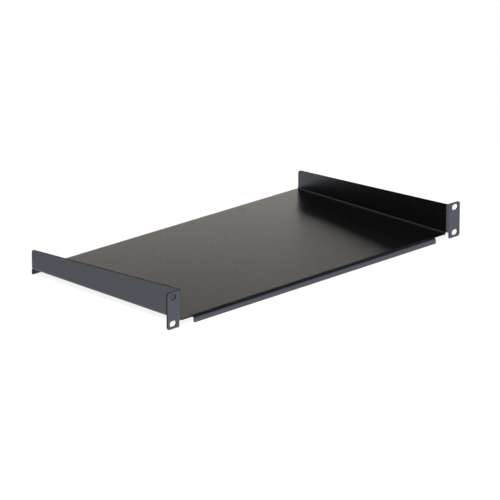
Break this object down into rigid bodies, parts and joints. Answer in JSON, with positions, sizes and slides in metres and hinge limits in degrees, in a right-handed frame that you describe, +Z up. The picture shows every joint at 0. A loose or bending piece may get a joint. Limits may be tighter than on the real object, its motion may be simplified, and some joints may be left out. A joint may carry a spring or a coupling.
{
  "type": "cantilever rack shelf",
  "caption": "Folded sheet-steel tray with tapered side walls, slotted front ears and short stiffening lips, for carrying small equipment in a rack.",
  "frame": {"origin": "middle of the rectangle of mounting slots, on the plane where the rear faces of the ears meet the rack's front rails", "axes": "+X to the right as seen from the front, +Y towards the rear of the rack, +Z up"},
  "size_m": [0.4826, 0.257, 0.0452],
  "materials": {
    "powder_coat": "satin black powder coat with a very fine grain over folded sheet steel"
  },
  "bodies": {
    "root": {"shelf": "powder_coat"}
  },
  "joints": []
}
